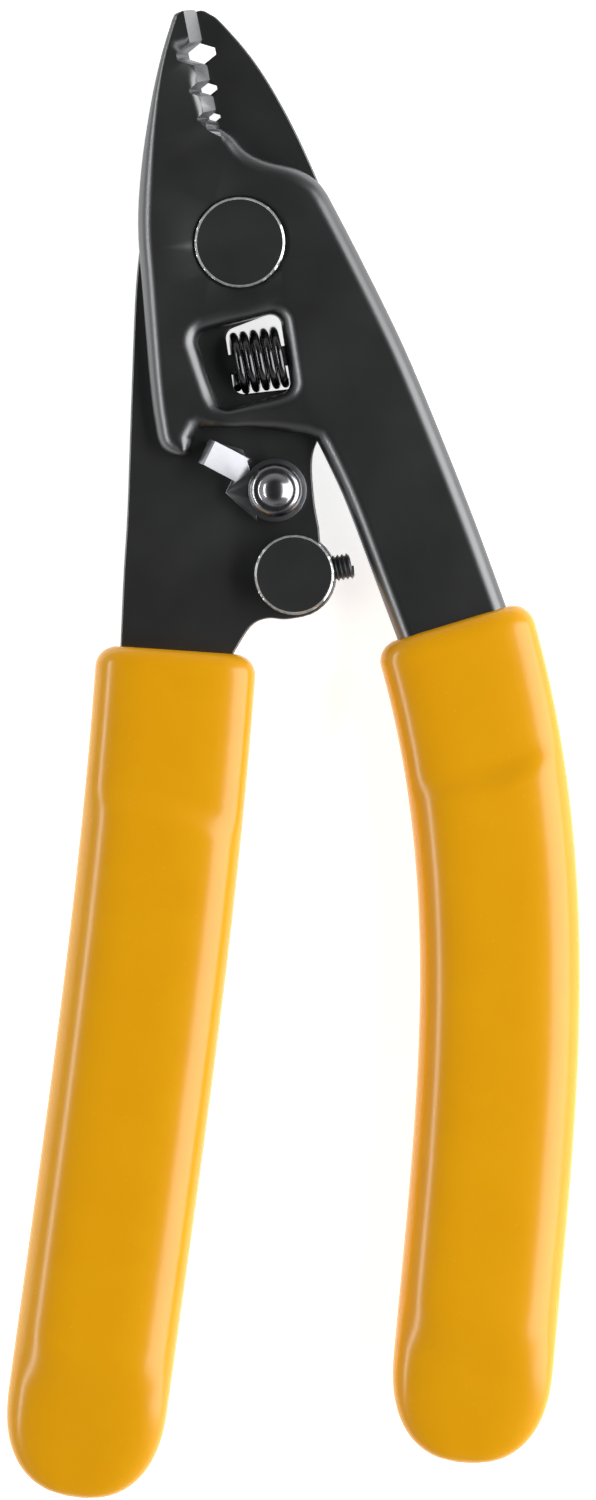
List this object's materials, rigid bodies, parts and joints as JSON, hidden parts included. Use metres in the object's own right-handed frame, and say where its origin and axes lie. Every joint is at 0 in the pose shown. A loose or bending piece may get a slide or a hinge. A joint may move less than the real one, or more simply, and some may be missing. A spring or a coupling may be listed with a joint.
{
  "type": "fibre stripper",
  "caption": "Hand-held optical fibre stripper: crossed steel jaws with ground vee holes, coil spring, latch, closing stop and moulded grips.",
  "frame": {"origin": "centre of the whole tool's footprint, on the plane of the grips' backs", "axes": "+Y towards the jaw tips, +X to the right grip, +Z out of the front face"},
  "size_m": [0.0634, 0.1651, 0.0108],
  "materials": {
    "black_steel": "black oxide, satin",
    "bright_steel": "satin",
    "spring_wire": "polished black spring wire",
    "yellow_grip": "smooth gloss vinyl"
  },
  "bodies": {
    "back_half": {"back_arm": "black_steel", "left_grip": "yellow_grip", "pivot_rivet": "black_steel", "pivot_washer": "bright_steel", "return_spring": "spring_wire", "stop_post": "black_steel", "latch_rivet": "bright_steel", "latch_washer": "bright_steel"},
    "front_half": {"front_arm": "black_steel", "right_grip": "yellow_grip"},
    "latch": {"latch_lever": "black_steel"},
    "screw": {"stop_screw": "bright_steel"}
  },
  "joints": [
    {"name": "handle_pivot", "type": "hinge", "parent": "back_half", "child": "front_half", "pos_m": [-0.00598, 0.05661, 0.0052], "axis": [0, 0, 1], "range_deg": [-2, 11], "stiffness_Nm_per_rad": 0.4, "deforming": ["return_spring"]},
    {"name": "latch_swing", "type": "hinge", "parent": "back_half", "child": "latch", "pos_m": [-0.00208, 0.02921, 0.0052], "axis": [0, 0, 1], "range_deg": [-10, 55]},
    {"name": "stop_screw_travel", "type": "slide", "parent": "back_half", "child": "screw", "axis": [0.9869, 0.1616, 0], "range_m": [-0.001, 0]}
  ],
  "couplings": [
    {"joint": "latch_swing", "follows": "handle_pivot", "ratio": 5}
  ]
}
